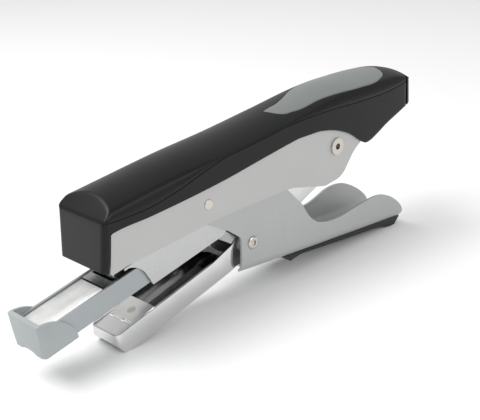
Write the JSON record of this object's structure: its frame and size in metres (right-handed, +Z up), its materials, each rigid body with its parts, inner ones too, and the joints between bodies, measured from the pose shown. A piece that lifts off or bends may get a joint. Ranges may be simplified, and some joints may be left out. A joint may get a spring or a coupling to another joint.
{
  "type": "plier stapler",
  "caption": "Hand-held plier stapler with sprung jaws, a squeeze lever and a front-loading staple drawer shown pulled out.",
  "frame": {"origin": "bottom centre of the whole object as it stands with the drawer pulled out and the jaws open", "axes": "+Z up, X along the stapler with the nose towards -X and the tail towards +X, Y across it"},
  "size_m": [0.185, 0.0262, 0.0692],
  "materials": {
    "frame_paint": "satin light silver-grey paint",
    "lever_paint": "satin silver paint",
    "chrome_arm": "bright nickel-chrome plate",
    "anvil_steel": "polished hard plate",
    "housing_steel": "satin bright steel",
    "rivet_nickel": "nickel plated",
    "spring_steel": "drawn spring wire",
    "blade_steel": "ground tool steel",
    "drawer_grey": "cool grey satin",
    "cap_grey": "light cool grey moulded plastic",
    "casing_black": "satin black moulded plastic",
    "grip_grey": "soft-touch mid grey",
    "pad_black": "black rubber",
    "core_grey": "moulded plastic",
    "washer_white": "natural nylon",
    "staple_wire": "bright galvanised wire"
  },
  "bodies": {
    "anvil_arm": {"anvil_arm": "chrome_arm", "anvil_plate": "anvil_steel", "anvil_rivet": "rivet_nickel", "paper_stop": "chrome_arm", "main_pivot": "rivet_nickel", "pivot_spacer": "housing_steel", "pivot_washers": "washer_white", "lever_pivot": "rivet_nickel", "lever_spacer": "housing_steel", "lever_washers": "washer_white", "spring_seat": "core_grey", "return_spring": "spring_steel"},
    "hand_lever": {"hand_lever": "lever_paint", "lever_pad": "pad_black"},
    "upper_arm": {"upper_frame": "frame_paint", "handle_casing": "casing_black", "grip_inlay": "grip_grey", "cam_pin": "rivet_nickel", "casing_screws": "rivet_nickel", "driver_blade": "blade_steel", "driver_holder": "housing_steel"},
    "magazine": {"magazine_housing": "housing_steel", "pusher_stop": "housing_steel", "guide_rod": "blade_steel", "magazine_spring": "spring_steel"},
    "pusher": {"pusher": "housing_steel", "pusher_spring": "spring_steel"},
    "drawer": {"drawer_channel": "drawer_grey", "drawer_cap": "cap_grey", "staple_core": "core_grey", "staple_strip": "staple_wire"}
  },
  "joints": [
    {"name": "lever_squeeze", "type": "hinge", "parent": "anvil_arm", "child": "hand_lever", "pos_m": [0, 0, 0.0215], "axis": [0, -1, 0], "range_deg": [0, 21], "stiffness_Nm_per_rad": 1, "springref_deg": -34.38},
    {"name": "jaw_close", "type": "hinge", "parent": "anvil_arm", "child": "upper_arm", "pos_m": [0.0458, 0, 0.0468], "axis": [0, -1, 0], "range_deg": [0, 8.7], "deforming": ["return_spring"]},
    {"name": "magazine_close", "type": "hinge", "parent": "anvil_arm", "child": "magazine", "pos_m": [0.0458, 0, 0.0468], "axis": [0, -1, 0], "range_deg": [0, 4.8], "deforming": ["magazine_spring"]},
    {"name": "drawer_slide", "type": "slide", "parent": "magazine", "child": "drawer", "axis": [0.9781, 0, 0.2079], "range_m": [0, 0.0303]},
    {"name": "pusher_slide", "type": "slide", "parent": "magazine", "child": "pusher", "axis": [0.9781, 0, 0.2079], "range_m": [0, 0.0299], "deforming": ["pusher_spring"]}
  ],
  "couplings": [
    {"joint": "jaw_close", "follows": "lever_squeeze", "ratio": 0.41429},
    {"joint": "magazine_close", "follows": "lever_squeeze", "ratio": 0.22857},
    {"joint": "pusher_slide", "follows": "drawer_slide", "ratio": 0.9835}
  ]
}
